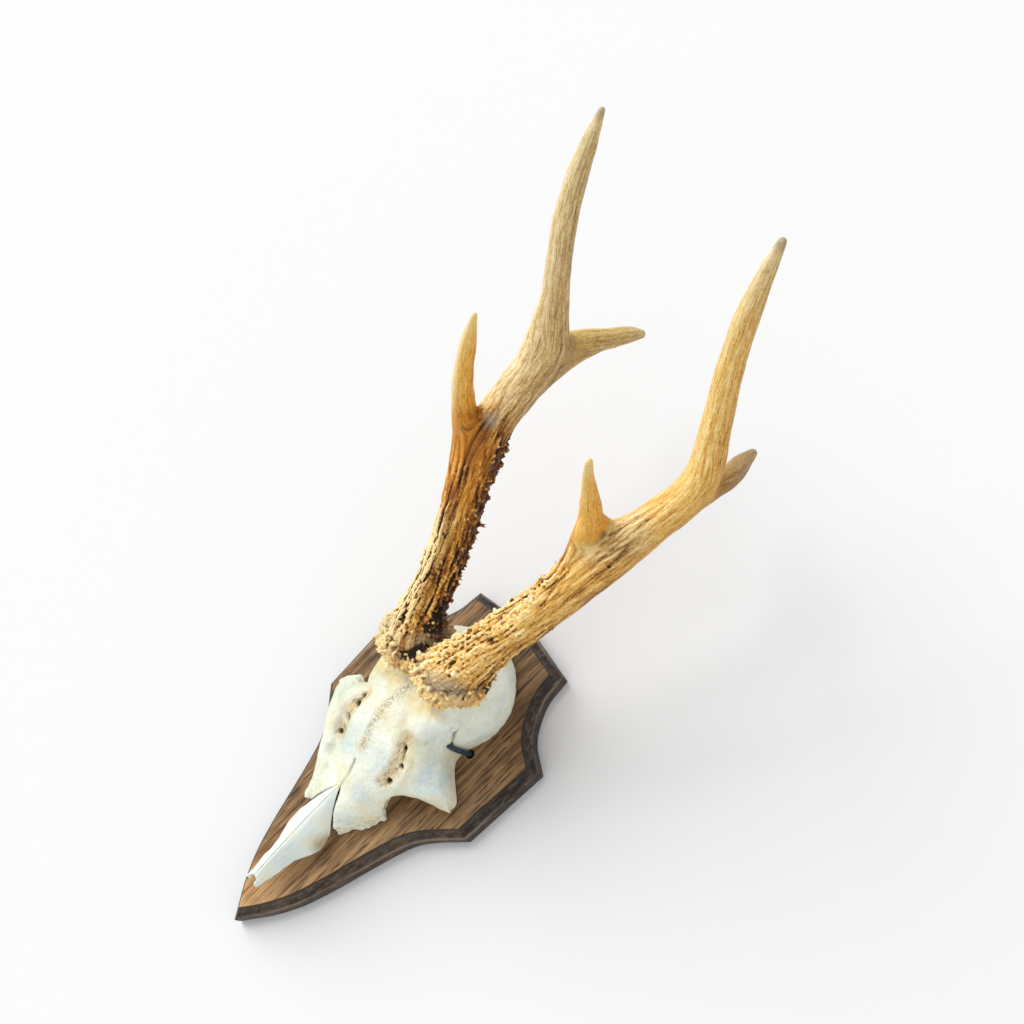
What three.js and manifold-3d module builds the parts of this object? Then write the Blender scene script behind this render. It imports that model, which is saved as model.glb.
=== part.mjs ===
// Roebuck trophy: skull cap with two three-point antlers, wired to a moulded shield.
// Millimetres. X across the shield, Y up its length, Z out of its face; the back lies on Z = 0.
import * as THREE from 'three';
import { mergeVertices } from 'three/addons/utils/BufferGeometryUtils.js';
import Module from 'manifold-3d';

const wasm = await Module();
wasm.setup();

// Driving dimensions
const boardThick = 13.2;
const mouldDepth = 6.6;          // height of the cove below the face
const mouldWidth = 3.9;          // how far the base stands out past the face
const gap = 0.3;                 // clearance between pieces that touch
const boneBase = boardThick + gap;
const nasalThick = 1.8;
const wireRadius = 1.2;
const tieY = 32;                 // height of the tie on the board
const tieX = 26;                 // its two holes either side of the middle
const tieHoleRadius = 2.1;
const backGroove = 3.8;          // depth of the groove for the tie on the back

// Mesh helpers

function solid(geometry) {
  const bare = geometry.clone();
  bare.deleteAttribute('normal');
  bare.deleteAttribute('uv');
  const merged = mergeVertices(bare, 1e-4);
  return new wasm.Manifold(new wasm.Mesh({
    numProp: 3,
    vertProperties: new Float32Array(merged.attributes.position.array),
    triVerts: new Uint32Array(merged.index.array),
  }));
}

function toGeometry(manifold) {
  const mesh = manifold.getMesh();
  const geometry = new THREE.BufferGeometry();
  geometry.setAttribute('position', new THREE.BufferAttribute(mesh.vertProperties, 3));
  geometry.setIndex(new THREE.BufferAttribute(mesh.triVerts, 1));
  geometry.computeVertexNormals();
  return geometry;
}

function node(name, geometry, material) {
  const mesh = new THREE.Mesh(geometry, material);
  mesh.name = name;
  return mesh;
}

function mirrored(points) {
  return points.map(([x, y, z]) => [-x, y, z]);
}

function along(list, t) {
  const at = THREE.MathUtils.clamp(t, 0, 1) * (list.length - 1);
  const low = Math.min(Math.floor(at), list.length - 2);
  return THREE.MathUtils.lerp(list[low], list[low + 1], at - low);
}

// Board

function faceOutline() {
  const side = new THREE.SplineCurve([
    [0, -90.3], [6.6, -80.6], [13, -68.3], [18, -53.9], [22.3, -38.9],
    [27.4, -21.7], [31, -12.4], [36.3, -4.7], [46.7, 6.6],
  ].map(([x, y]) => new THREE.Vector2(x, y))).getPoints(16);
  const shoulder = new THREE.SplineCurve([
    [48.9, 45.9], [38.2, 52.6], [31.6, 61.1], [27.2, 71.5], [25.9, 81.5],
  ].map(([x, y]) => new THREE.Vector2(x, y))).getPoints(9);
  const top = [new THREE.Vector2(0, 85.5)];
  const right = [...side, ...shoulder];
  const left = right.slice(1).reverse().map((p) => new THREE.Vector2(-p.x, p.y));
  return [...right, ...top, ...left];
}

function offsetOutline(outline, distance) {
  return outline.map((point, i) => {
    const before = outline[(i + outline.length - 1) % outline.length];
    const after = outline[(i + 1) % outline.length];
    const a = point.clone().sub(before).normalize();
    const b = after.clone().sub(point).normalize();
    const mitre = new THREE.Vector2(a.y + b.y, -a.x - b.x);
    const reach = distance / Math.max(0.35, mitre.dot(new THREE.Vector2(a.y, -a.x)));
    return point.clone().addScaledVector(mitre, reach);
  });
}

function mouldedBoard() {
  const outline = faceOutline();
  // [height, how far out past the face]
  const section = [
    [0, 1], [boardThick - mouldDepth, 1], [boardThick - mouldDepth * 0.82, 0.8],
    [boardThick - mouldDepth * 0.7, 0.45], [boardThick - mouldDepth * 0.4, 0.16], [boardThick, 0],
  ];
  const levels = section.map(([, out]) => offsetOutline(outline, out * mouldWidth));
  const depth = section.length - 1;
  const geometry = new THREE.ExtrudeGeometry(new THREE.Shape(outline), {
    depth, steps: depth, bevelEnabled: false,
  });
  const place = geometry.attributes.position;
  for (let i = 0; i < place.count; i += 1) {
    const here = new THREE.Vector2(place.getX(i), place.getY(i));
    const index = outline.findIndex((p) => p.distanceTo(here) < 1e-4);
    const level = Math.round(place.getZ(i));
    const moved = levels[level][index];
    place.setXYZ(i, moved.x, moved.y, section[level][0]);
  }
  return geometry;
}

function tieHole(side) {
  const hole = new THREE.CylinderGeometry(tieHoleRadius, tieHoleRadius, boardThick * 3, 16);
  hole.rotateX(Math.PI / 2);
  hole.translate(side * tieX, tieY, 0);
  return solid(hole);
}

function board() {
  const groove = new THREE.BoxGeometry(2 * tieX + 3, 2 * tieHoleRadius, 2 * backGroove);
  groove.translate(0, tieY, 0);
  return solid(mouldedBoard()).subtract(solid(groove)).subtract(tieHole(1)).subtract(tieHole(-1));
}

// Skull: arch-shaped sections [y, half width, top], closed by a flat cut underneath

const skullSections = [
  [-36, 9, 27.5], [-30, 12, 28.5], [-24, 16.5, 29.5], [-18, 19.5, 30.2], [-13, 21, 32],
  [-8, 22.5, 34.6], [-3, 26, 37.6], [3, 32, 41], [8.5, 39.4, 45], [12, 39.8, 47],
  [16, 35.6, 49], [20, 29.8, 50.8], [24, 25.4, 52], [28, 24, 52.7], [34, 25.2, 53],
  [41, 27.6, 52.4], [48, 28.4, 50.6], [56, 27, 46.6], [63, 23.4, 40.4], [68.5, 18.4, 33.6],
  [73, 11.8, 25.4], [75.8, 4.4, 18.4],
];

const cavitySections = [
  [-40, 4, 21], [-26, 6.5, 23.5], [-12, 8.5, 27], [0, 10, 34], [10, 13, 41],
  [20, 17, 46.5], [27, 20.4, 49], [34, 22, 49.6], [42, 24, 48.8], [50, 24.4, 45.8],
  [57.5, 22.2, 41], [64, 17.8, 34.6], [69.5, 10.2, 26],
];

function archLoft(sections, floor, sides, rings) {
  const spine = new THREE.CatmullRomCurve3(sections.map((s) => new THREE.Vector3(...s)));
  const geometry = new THREE.CylinderGeometry(1, 1, 1, sides, rings);
  const place = geometry.attributes.position;
  for (let i = 0; i < place.count; i += 1) {
    const { x: y, y: halfWidth, z: top } = spine.getPoint(place.getY(i) + 0.5);
    const across = place.getX(i);
    const upward = place.getZ(i);
    const x = halfWidth * Math.sign(across) * Math.abs(across) ** 0.88;
    const rise = upward > 1e-6 ? upward ** 0.92 : 0;
    place.setXYZ(i, x, y, floor + (top - floor) * rise);
  }
  return geometry;
}

function eyeSocket(side) {
  const socket = new THREE.SphereGeometry(1, 16, 12);
  socket.scale(17.5, 13, 18.5);
  socket.translate(side * 31, -4, boardThick);
  return solid(socket);
}

function nasalBed() {
  const bed = new THREE.Shape([
    [-14, -60], [14, -60], [14, -38], [10, -36.6], [0, -16.4], [-10, -36.6], [-14, -38],
  ].map(([x, y]) => new THREE.Vector2(x, y)));
  return solid(new THREE.ExtrudeGeometry(bed, { depth: 60, bevelEnabled: false }));
}

function pedicle(coronet, next) {
  const away = new THREE.Vector3(...next).sub(new THREE.Vector3(...coronet)).normalize();
  const top = new THREE.Vector3(...coronet).addScaledVector(away, -gap);
  const root = top.clone().addScaledVector(away, -12);
  const post = new THREE.CylinderGeometry(9, 9.8, 12, 18);
  post.applyQuaternion(new THREE.Quaternion().setFromUnitVectors(new THREE.Vector3(0, 1, 0), away));
  post.translate(...top.clone().add(root).multiplyScalar(0.5).toArray());
  return solid(post);
}

function skull() {
  const cavity = solid(archLoft(cavitySections, boneBase - 8, 16, 18));
  return solid(archLoft(skullSections, boneBase, 28, 32))
    .add(pedicle(leftBeam.points[0], leftBeam.points[1]))
    .add(pedicle(rightBeam.points[0], rightBeam.points[1]))
    .subtract(cavity)
    .subtract(eyeSocket(1))
    .subtract(eyeSocket(-1))
    .subtract(nasalBed())
    .subtract(beam(leftBeam, gap))
    .subtract(beam(rightBeam, gap))
    .subtract(solid(tie(wireRadius + gap, 4)));
}

function nasal(side) {
  const middleY = [-74.4, -17];
  const middleZ = [26.7, 28.3, 30, 31, 30.5];
  const edgeX = [4, 5.3, 7.5, 10.2, 9.5];
  const edgeY = [-75.4, -66, -56, -46, -36.9];
  const edgeZ = [24, 22.4, 21, 19.4, 20];
  const geometry = new THREE.BoxGeometry(1, 1, 1, 5, 12, 1);
  const place = geometry.attributes.position;
  for (let i = 0; i < place.count; i += 1) {
    const across = place.getX(i) + 0.5;
    const back = place.getY(i) + 0.5;
    const out = THREE.MathUtils.lerp(gap / 2, along(edgeX, back), across);
    const y = THREE.MathUtils.lerp(along(middleY, back), along(edgeY, back), across);
    const z = THREE.MathUtils.lerp(along(middleZ, back), along(edgeZ, back), across ** 1.8);
    place.setXYZ(i, out, y, z - (0.5 - place.getZ(i)) * nasalThick);
  }
  const bone = solid(geometry);
  return side > 0 ? bone : bone.mirror([1, 0, 0]);
}

// Antlers: centre line with the radius at each point, first point at the coronet

const leftBeam = {
  points: [
    [-12.9, 49, 52.8], [-13.2, 51, 55.2], [-14, 54.2, 57.6], [-15.6, 58.8, 60],
    [-17.6, 65, 62.2], [-19.5, 73, 65.4], [-23.8, 92.4, 75.4],
    [-28.4, 107.6, 84.8], [-34.8, 126.2, 93.4], [-37.9, 141.6, 97.4], [-39.4, 162.6, 101.4],
    [-39.4, 176.8, 107.6], [-41.4, 186.5, 121.1], [-43.2, 197.4, 139.2],
    [-45.3, 211.7, 159.2], [-45.4, 228, 178], [-43.3, 240.2, 193],
  ],
  radii: [
    13, 16.2, 14, 11.2, 9.6, 9, 8.7, 8.9, 9.7, 9.2, 9, 7.9, 6.3, 5.3, 4.7, 3.2, 0.6,
  ],
};

const rightBeam = {
  points: [
    [12.4, 51, 55.4], [12.7, 53.2, 57.8], [13.4, 56.6, 60], [14.8, 61, 61.8],
    [17, 67.4, 64], [19.4, 74.7, 66.9], [26, 89.5, 75.8],
    [32.2, 104.2, 85.2], [37.2, 119.7, 93.2], [41.1, 134.3, 97.4], [46, 153.8, 100.9],
    [50, 174, 107], [45.4, 192, 123.7], [41.2, 208, 142.8], [40.6, 221.2, 161.2],
    [42.1, 232.9, 178.7], [45, 241.3, 193.7],
  ],
  radii: [
    13.6, 17, 14.6, 12, 11, 10, 9.3, 9.5, 9.8, 9.6, 8, 7.6, 5.9, 5.1, 4.5, 2.9, 0.5,
  ],
};

const leftFrontTine = {
  points: [
    [-35, 124, 96], [-41.5, 130, 103.5], [-45.6, 135.6, 112], [-42.4, 140.6, 130.5],
    [-39.3, 150.4, 151.6], [-34.6, 157.6, 169.1],
  ],
  radii: [7, 6.6, 5.2, 4.1, 2.7, 0.6],
};

const rightFrontTine = {
  points: [
    [36.5, 122, 95], [33, 130.5, 103.5], [31, 136, 112], [32.8, 140.3, 130.6],
    [35.7, 143.5, 150.4], [40.3, 145.9, 168.2],
  ],
  radii: [7, 6.6, 5.2, 3.6, 1.9, 0.5],
};

const leftRearTine = {
  points: [
    [-39.5, 172, 103], [-37.2, 186, 96.5], [-35.9, 197, 85], [-37.2, 209, 69.4],
    [-41.1, 217.1, 53],
  ],
  radii: [7, 5.8, 4.7, 3, 0.7],
};

const rightRearTine = {
  points: [
    [49, 167, 104], [49.6, 178, 96], [47.6, 188, 84], [40.9, 198.5, 67.8],
    [34.6, 209.2, 50.7],
  ],
  radii: [6.4, 5.6, 4.8, 3.8, 0.7],
};

// A tapering horn swept round the line; pearls and grooves ripple the lower part
function horn({ points, radii }, sides, rings, extra = 0, ripple = 0) {
  const curve = new THREE.CatmullRomCurve3(points.map((p) => new THREE.Vector3(...p)));
  const frames = curve.computeFrenetFrames(rings, false);
  const geometry = new THREE.CylinderGeometry(1, 1, 1, sides, rings);
  const place = geometry.attributes.position;
  for (let i = 0; i < place.count; i += 1) {
    const ring = Math.round((place.getY(i) + 0.5) * rings);
    const t = curve.getUtoTmapping(ring / rings);
    const angle = Math.atan2(place.getZ(i), place.getX(i));
    const fade = ripple * (1 - THREE.MathUtils.smoothstep(ring / rings, 0.1, 0.55));
    const wave = 1 + fade * Math.sin(angle * 5 + ring * 2.1) + 0.5 * fade * Math.cos(angle * 3 - ring);
    const radius = along(radii, t) * wave + extra;
    const point = curve.getPoint(t);
    point.addScaledVector(frames.binormals[ring], place.getX(i) * radius);
    point.addScaledVector(frames.normals[ring], place.getZ(i) * radius);
    place.setXYZ(i, point.x, point.y, point.z);
  }
  return geometry;
}

function beam(line, extra = 0) {
  return solid(horn(line, 14, 42, extra, 0.06));
}

function tine(line, trunk) {
  const pieces = solid(horn(line, 12, 12)).subtract(beam(trunk, gap)).decompose();
  return pieces.sort((a, b) => b.volume() - a.volume())[0];
}

// Tie: one wire through the skull, down both holes and back along the groove

function tie(radius, sides) {
  const half = [
    [3, tieY, 1.9], [tieX - 5, tieY, 1.9], [tieX - 0.9, tieY, 3], [tieX, tieY, 7],
    [tieX, tieY, 13.5], [25.8, tieY - 0.8, 19.5], [24.2, tieY - 2.2, 25.6], [20.2, tieY - 3, 29.4],
    [12, tieY - 3, 30.4],
  ];
  const path = [...half, ...mirrored(half).reverse()].map((p) => new THREE.Vector3(...p));
  const section = new THREE.Shape();
  section.absarc(0, 0, radius, 0, Math.PI * 2, false);
  return new THREE.ExtrudeGeometry(section, {
    steps: 60, curveSegments: sides, bevelEnabled: false,
    extrudePath: new THREE.CatmullRomCurve3(path, false, 'centripetal'),
  });
}

// Materials

function woodFinish() {
  return new THREE.MeshStandardMaterial({ color: 0x6b4a33, roughness: 0.6, metalness: 0 });
}

function boneFinish() {
  return new THREE.MeshStandardMaterial({ color: 0xe6e2cb, roughness: 0.6, metalness: 0 });
}

function antlerFinish() {
  return new THREE.MeshStandardMaterial({ color: 0xc09560, roughness: 0.55, metalness: 0 });
}

function wireFinish() {
  return new THREE.MeshStandardMaterial({ color: 0x3c444f, roughness: 0.4, metalness: 0 });
}

const wood = woodFinish();
const bone = boneFinish();
const antler = antlerFinish();
const wire = wireFinish();

const trophy = new THREE.Group();
trophy.name = 'deer_antler';
trophy.add(node('board', toGeometry(board()), wood));
trophy.add(node('skull_cap', toGeometry(skull()), bone));
trophy.add(node('nasal_left', toGeometry(nasal(-1)), bone));
trophy.add(node('nasal_right', toGeometry(nasal(1)), bone));
trophy.add(node('beam_left', toGeometry(beam(leftBeam).subtract(beam(rightBeam, gap))), antler));
trophy.add(node('front_tine_left', toGeometry(tine(leftFrontTine, leftBeam)), antler));
trophy.add(node('rear_tine_left', toGeometry(tine(leftRearTine, leftBeam)), antler));
trophy.add(node('beam_right', toGeometry(beam(rightBeam)), antler));
trophy.add(node('front_tine_right', toGeometry(tine(rightFrontTine, rightBeam)), antler));
trophy.add(node('rear_tine_right', toGeometry(tine(rightRearTine, rightBeam)), antler));
trophy.add(node('tie_wire', toGeometry(solid(tie(wireRadius, 5))), wire));

export default trophy;
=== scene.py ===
import math

import bpy
import numpy as np
from mathutils import Matrix, Vector
from mathutils.kdtree import KDTree


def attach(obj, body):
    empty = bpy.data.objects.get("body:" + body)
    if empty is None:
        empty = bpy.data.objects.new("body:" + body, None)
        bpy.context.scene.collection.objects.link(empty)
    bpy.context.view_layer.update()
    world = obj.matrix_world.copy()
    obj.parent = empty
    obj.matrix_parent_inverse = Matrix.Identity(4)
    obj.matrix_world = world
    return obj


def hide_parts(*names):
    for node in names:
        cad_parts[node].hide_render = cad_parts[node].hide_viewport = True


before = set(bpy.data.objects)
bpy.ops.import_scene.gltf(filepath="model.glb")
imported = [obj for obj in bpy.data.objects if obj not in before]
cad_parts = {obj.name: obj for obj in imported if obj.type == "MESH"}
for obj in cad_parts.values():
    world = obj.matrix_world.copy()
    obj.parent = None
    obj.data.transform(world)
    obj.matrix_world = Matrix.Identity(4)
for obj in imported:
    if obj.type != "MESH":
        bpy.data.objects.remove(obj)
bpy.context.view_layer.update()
print("frame loaded:", ", ".join(sorted(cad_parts)))

mm = 0.001  # pieces are shaped in millimetres and brought to metres at the end


def deselectAll():
    if bpy.context.object and bpy.context.object.mode != "OBJECT":
        bpy.ops.object.mode_set(mode="OBJECT")
    bpy.ops.object.select_all(action="DESELECT")


def pick(piece, *others):
    deselectAll()
    for item in (*others, piece):
        item.select_set(True)
    bpy.context.view_layer.objects.active = piece


def applyModifier(piece, kind, **settings):
    pick(piece)
    modifier = piece.modifiers.new(kind.title(), kind)
    for key, value in settings.items():
        setattr(modifier, key, value)
    bpy.ops.object.modifier_apply(modifier=modifier.name)


def remesh(piece, voxel):
    applyModifier(piece, "REMESH", mode="VOXEL", voxel_size=voxel)


def smooth(piece, factor, rounds, **settings):
    applyModifier(piece, "SMOOTH", factor=factor, iterations=rounds, **settings)


def editMesh(piece, operator, **settings):
    # runs an edit mode operator on the whole mesh
    pick(piece)
    bpy.ops.object.mode_set(mode="EDIT")
    bpy.ops.mesh.select_all(action="SELECT")
    operator(**settings)
    bpy.ops.object.mode_set(mode="OBJECT")


def join(pieces, name):
    pick(*pieces)
    bpy.ops.object.join()
    whole = bpy.context.object
    whole.name = whole.data.name = name
    return whole


def duplicate(piece):
    pick(piece)
    bpy.ops.object.duplicate()
    return bpy.context.object


def readAll(items, key, size, kind=np.float32):
    flat = np.empty(len(items) * size, kind)
    items.foreach_get(key, flat)
    return flat.reshape(-1, size)


def meshPoints(mesh):
    return readAll(mesh.vertices, "co", 3).astype(float)


def meshNormals(mesh):
    return readAll(mesh.vertex_normals, "vector", 3).astype(float)


def setMeshPoints(mesh, points):
    mesh.vertices.foreach_set("co", np.asarray(points, np.float32).ravel())
    mesh.update()


def keepOnPoints(mesh, name, values):
    # stores a number, or a vector, on every point for the material to read
    values = np.asarray(values, np.float32)
    if values.ndim == 1:
        layer = mesh.attributes.new(name, "FLOAT", "POINT")
        layer.data.foreach_set("value", values)
    else:
        layer = mesh.attributes.new(name, "FLOAT_VECTOR", "POINT")
        layer.data.foreach_set("vector", values.ravel())


def keepAll(mesh, **layers):
    for name, values in layers.items():
        keepOnPoints(mesh, name, values)


def ease(low, high, value):
    t = np.clip((value - low) / (high - low), 0, 1)
    return t * t * (3 - 2 * t)


def unit(rows):
    rows = np.asarray(rows, float)
    return rows / np.maximum(np.linalg.norm(rows, axis=-1, keepdims=True), 1e-9)


def softNoise(points, size, seed, octaves=1):
    # a smooth random field, about -1 to 1, at each row of points
    arrows = unit(np.random.default_rng(seed).normal(size=(512, 3)))
    total = np.zeros(len(points))
    strength = 1.0
    for octave in range(octaves):
        place = points * (2**octave / size) + octave * 31.7 + 100
        cell = np.floor(place).astype(np.int64)
        part = place - cell
        fade = part**3 * (part * (part * 6 - 15) + 10)
        for corner in np.ndindex(2, 2, 2):
            at = cell + corner
            which = (at[:, 0] * 73856093 ^ at[:, 1] * 19349663 ^ at[:, 2] * 83492791) % 512
            slope = ((part - corner) * arrows[which]).sum(1)
            weight = np.where(np.array(corner, bool), fade, 1 - fade).prod(1)
            total += strength * 1.6 * slope * weight
        strength *= 0.5
    return total


def nearSpot(points, spot, reach):
    # 1 at the spot, easing to 0 at its reach
    away = np.linalg.norm(points - np.asarray(spot, float), axis=1) / reach
    return np.clip(1 - away * away, 0, 1) ** 2


def nearSpots(points, spots):
    return sum([nearSpot(points, place, reach) for place, reach in spots], np.zeros(len(points)))


def nearLine(points, line, reach):
    # 1 along a line through some places, easing to 0 at its reach
    best = np.full(len(points), 1e9)
    for a, b in zip(np.asarray(line, float), np.asarray(line, float)[1:]):
        span = b - a
        t = np.clip((points - a) @ span / (span @ span), 0, 1)
        best = np.minimum(best, np.linalg.norm(points - a - t[:, None] * span, axis=1))
    return np.clip(1 - (best / reach) ** 2, 0, 1) ** 2


def hollowness(mesh, rounds):
    # how far each point lies in a hollow (+) or on a crest (-), in mm; more rounds look further around
    points, normals = meshPoints(mesh), meshNormals(mesh)
    edges = readAll(mesh.edges, "vertices", 2, np.int32)
    count = np.bincount(edges.ravel(), minlength=len(points))[:, None]
    level = points.copy()
    for _ in range(rounds):
        total = np.zeros_like(level)
        for axis in range(3):
            total[:, axis] = np.bincount(edges[:, 0], level[edges[:, 1], axis], len(points))
            total[:, axis] += np.bincount(edges[:, 1], level[edges[:, 0], axis], len(points))
        level = 0.5 * level + 0.5 * total / np.maximum(count, 1)
    return ((level - points) * normals).sum(1)


def dropCrumbs(piece):
    # keeps the main body of a mesh and clears away loose specks
    editMesh(piece, bpy.ops.mesh.separate, type="LOOSE")
    islands = sorted(bpy.context.selected_objects, key=lambda item: len(item.data.vertices))
    if len(islands) > 1:
        pick(*islands[:-1])
        bpy.ops.object.delete()
    return islands[-1]


def throughPoints(rows, steps):
    # a smooth line through rows of x, y, z and anything more, with centripetal spacing
    rows = np.asarray(rows, float)
    ends = np.vstack([2 * rows[0] - rows[1], rows, 2 * rows[-1] - rows[-2]])
    line = []
    for p0, p1, p2, p3 in zip(ends, ends[1:], ends[2:], ends[3:]):
        d0, d1, d2 = (math.sqrt(np.linalg.norm((b - a)[:3])) for a, b in ((p0, p1), (p1, p2), (p2, p3)))
        m1 = ((p1 - p0) / d0 - (p2 - p0) / (d0 + d1) + (p2 - p1) / d1) * d1
        m2 = ((p2 - p1) / d1 - (p3 - p1) / (d1 + d2) + (p3 - p2) / d2) * d1
        for u in np.arange(steps) / steps:
            a, b = u * u * (3 - 2 * u), u * (1 - u) ** 2
            line.append(p1 * (1 - a) + p2 * a + m1 * b - m2 * u * u * (1 - u))
    return np.vstack([line, rows[-1]])


def tube(name, rows, sides=16, steps=6):
    # a capped round bar through rows of x, y, z, radius
    line = throughPoints(rows, steps)
    bpy.ops.curve.primitive_nurbs_path_add()
    bar = bpy.context.object
    bar.data.splines.clear()
    spline = bar.data.splines.new("POLY")
    spline.points.add(len(line) - 1)
    spline.points.foreach_set("co", np.column_stack([line[:, :3], np.ones(len(line))]).ravel())
    spline.points.foreach_set("radius", line[:, 3])
    bar.data.dimensions = "3D"
    bar.data.twist_mode = "MINIMUM"
    bar.data.bevel_depth = 1.0
    bar.data.bevel_resolution = (sides - 4) // 2
    bar.data.use_fill_caps = True
    pick(bar)
    bpy.ops.object.convert(target="MESH")
    bar = bpy.context.object
    bar.name = bar.data.name = name
    return bar


def finishPiece(piece, name, finish, body, nodes, sharp=None):
    # brings a piece from millimetres to metres and puts it in the frame
    piece.name = piece.data.name = name
    piece.data.transform(Matrix.Scale(mm, 4))
    piece.data.materials.clear()
    piece.data.materials.append(finish)
    pick(piece)
    if sharp is None:
        bpy.ops.object.shade_smooth()
    else:
        bpy.ops.object.shade_smooth_by_angle(angle=math.radians(sharp))
    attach(piece, body)
    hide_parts(*nodes)
    print(f"{name}: {len(piece.data.vertices)} points")


def shade(code):
    # a colour from its six-figure web code
    parts = [int(code[i : i + 2], 16) / 255 for i in (0, 2, 4)]
    linear = [p / 12.92 if p <= 0.04045 else ((p + 0.055) / 1.055) ** 2.4 for p in parts]
    return (*linear, 1.0)


class Signal:
    # the output of a shader node, to reckon with
    def __init__(self, finish, socket):
        self.finish = finish
        self.socket = socket

    def __add__(self, other):
        return self.finish.maths("ADD", self, other)

    def __sub__(self, other):
        return self.finish.maths("SUBTRACT", self, other)

    def __rsub__(self, other):
        return self.finish.maths("SUBTRACT", other, self)

    def __mul__(self, other):
        return self.finish.maths("MULTIPLY", self, other)

    __radd__ = __add__
    __rmul__ = __mul__


class Finish:
    def __init__(self, name):
        self.material = bpy.data.materials.new(name)
        self.material.use_nodes = True
        self.tree = self.material.node_tree
        self.tree.nodes.clear()
        self.place = self.node("TexCoord", output="Object")

    def node(self, kind, sockets=None, output=0, stops=(), **settings):
        # a colour is given as its code
        made = self.tree.nodes.new("ShaderNode" + kind)
        for key, value in settings.items():
            setattr(made, key, value)
        for number, (position, code) in enumerate(stops):
            if number >= len(made.color_ramp.elements):
                made.color_ramp.elements.new(position)
            made.color_ramp.elements[number].position = position
            made.color_ramp.elements[number].color = shade(code)
        for key, value in (sockets or {}).items():
            if isinstance(value, Signal):
                self.tree.links.new(value.socket, made.inputs[key])
            else:
                made.inputs[key].default_value = shade(value) if isinstance(value, str) else value
        return Signal(self, made.outputs[output])

    def maths(self, operation, a, b):
        return self.node("Math", {0: a, 1: b}, operation=operation)

    def mix(self, a, b, factor, how="MIX"):
        sockets = {0: factor, 6: a, 7: b}
        return self.node("Mix", sockets, output=2, data_type="RGBA", blend_type=how)

    def coats(self, colour, *coats):
        # lays one colour over another, each as thick as its factor says
        for coat in coats:
            colour = self.mix(colour, *coat)
        return colour

    def ramp(self, value, *stops, how="LINEAR"):
        curve = self.node("ValToRGB", {0: value}, stops=stops)
        curve.socket.node.color_ramp.interpolation = how
        return curve

    def span(self, value, low, high, toLow=0.0, toHigh=1.0):
        sockets = {0: value, 1: low, 2: high, 3: toLow, 4: toHigh}
        return self.node("MapRange", sockets, interpolation_type="SMOOTHSTEP")

    def stretch(self, vector, scale=(1, 1, 1), shift=(0, 0, 0)):
        return self.node("Mapping", {"Vector": vector, "Scale": scale, "Location": shift})

    def noise(self, vector, scale, detail=3.0, rough=0.55, warp=0.0):
        sockets = {"Vector": vector, "Scale": scale, "Detail": detail, "Roughness": rough}
        return self.node("TexNoise", {**sockets, "Distortion": warp})

    def cells(self, vector, scale):
        return self.node("TexVoronoi", {"Vector": vector, "Scale": scale}, output="Distance")

    def kept(self, name, output="Fac"):
        return self.node("Attribute", output=output, attribute_name=name)

    def bump(self, height, distance, strength):
        return self.node("Bump", {"Height": height, "Distance": distance, "Strength": strength})

    def surface(self, colour, roughness, normal=None, gloss=0.3):
        sockets = {"Base Color": colour, "Roughness": roughness, "Specular IOR Level": gloss}
        if normal:
            sockets["Normal"] = normal
        shader = self.node("BsdfPrincipled", sockets)
        out = self.tree.nodes.new("ShaderNodeOutputMaterial")
        self.tree.links.new(shader.socket, out.inputs["Surface"])
        return self.material


camera = {
    "place": (0.25385, 0.09388, 0.60372),
    "right": (0.64091, 0.71056, -0.29041),
    "up": (-0.62151, 0.70239, 0.34695),
    "back": (0.45051, -0.04187, 0.89179),
    "lens": 49.959,
}


def setCamera():
    bpy.ops.object.camera_add()
    eye = bpy.context.object
    turn = Matrix((camera["right"], camera["up"], camera["back"])).transposed().to_4x4()
    eye.matrix_world = Matrix.Translation(camera["place"]) @ turn
    eye.data.sensor_width = 36
    eye.data.lens = camera["lens"]
    eye.data.clip_start, eye.data.clip_end = 0.01, 20
    bpy.context.scene.camera = eye


studio = {
    # where each light comes from, its strength, and its spread in degrees
    "suns": [((-0.43, 0.13, 0.89), 0.78, 26), ((-0.82, 0.04, 0.5), 1.85, 46)],
    "skyStrength": 0.80,
    "skyShade": (0.98, 0.99, 1.0, 1),
    "floorSize": 6.0,
    "floorShade": "dfdfdf",
}


def setStudio():
    for fromWhere, strength, spread in studio["suns"]:
        bpy.ops.object.light_add(type="SUN")
        sun = bpy.context.object
        sun.data.energy = strength
        sun.data.angle = math.radians(spread)
        sun.rotation_mode = "QUATERNION"
        sun.rotation_quaternion = Vector(fromWhere).to_track_quat("Z", "Y")
    sky = bpy.data.worlds.new("studio")
    bpy.context.scene.world = sky
    sky.use_nodes = True
    sky.node_tree.nodes["Background"].inputs["Color"].default_value = studio["skyShade"]
    sky.node_tree.nodes["Background"].inputs["Strength"].default_value = studio["skyStrength"]
    bpy.context.scene.view_settings.view_transform = "Standard"
    bpy.ops.mesh.primitive_plane_add(size=studio["floorSize"], location=(0, 0, -0.0002))
    floor = bpy.context.object
    floor.name = "floor"
    bpy.ops.object.transform_apply(location=True, rotation=False, scale=False)
    paper = Finish("paper")
    floor.data.materials.append(paper.surface(studio["floorShade"], 0.9))
    print("studio set")


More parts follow.
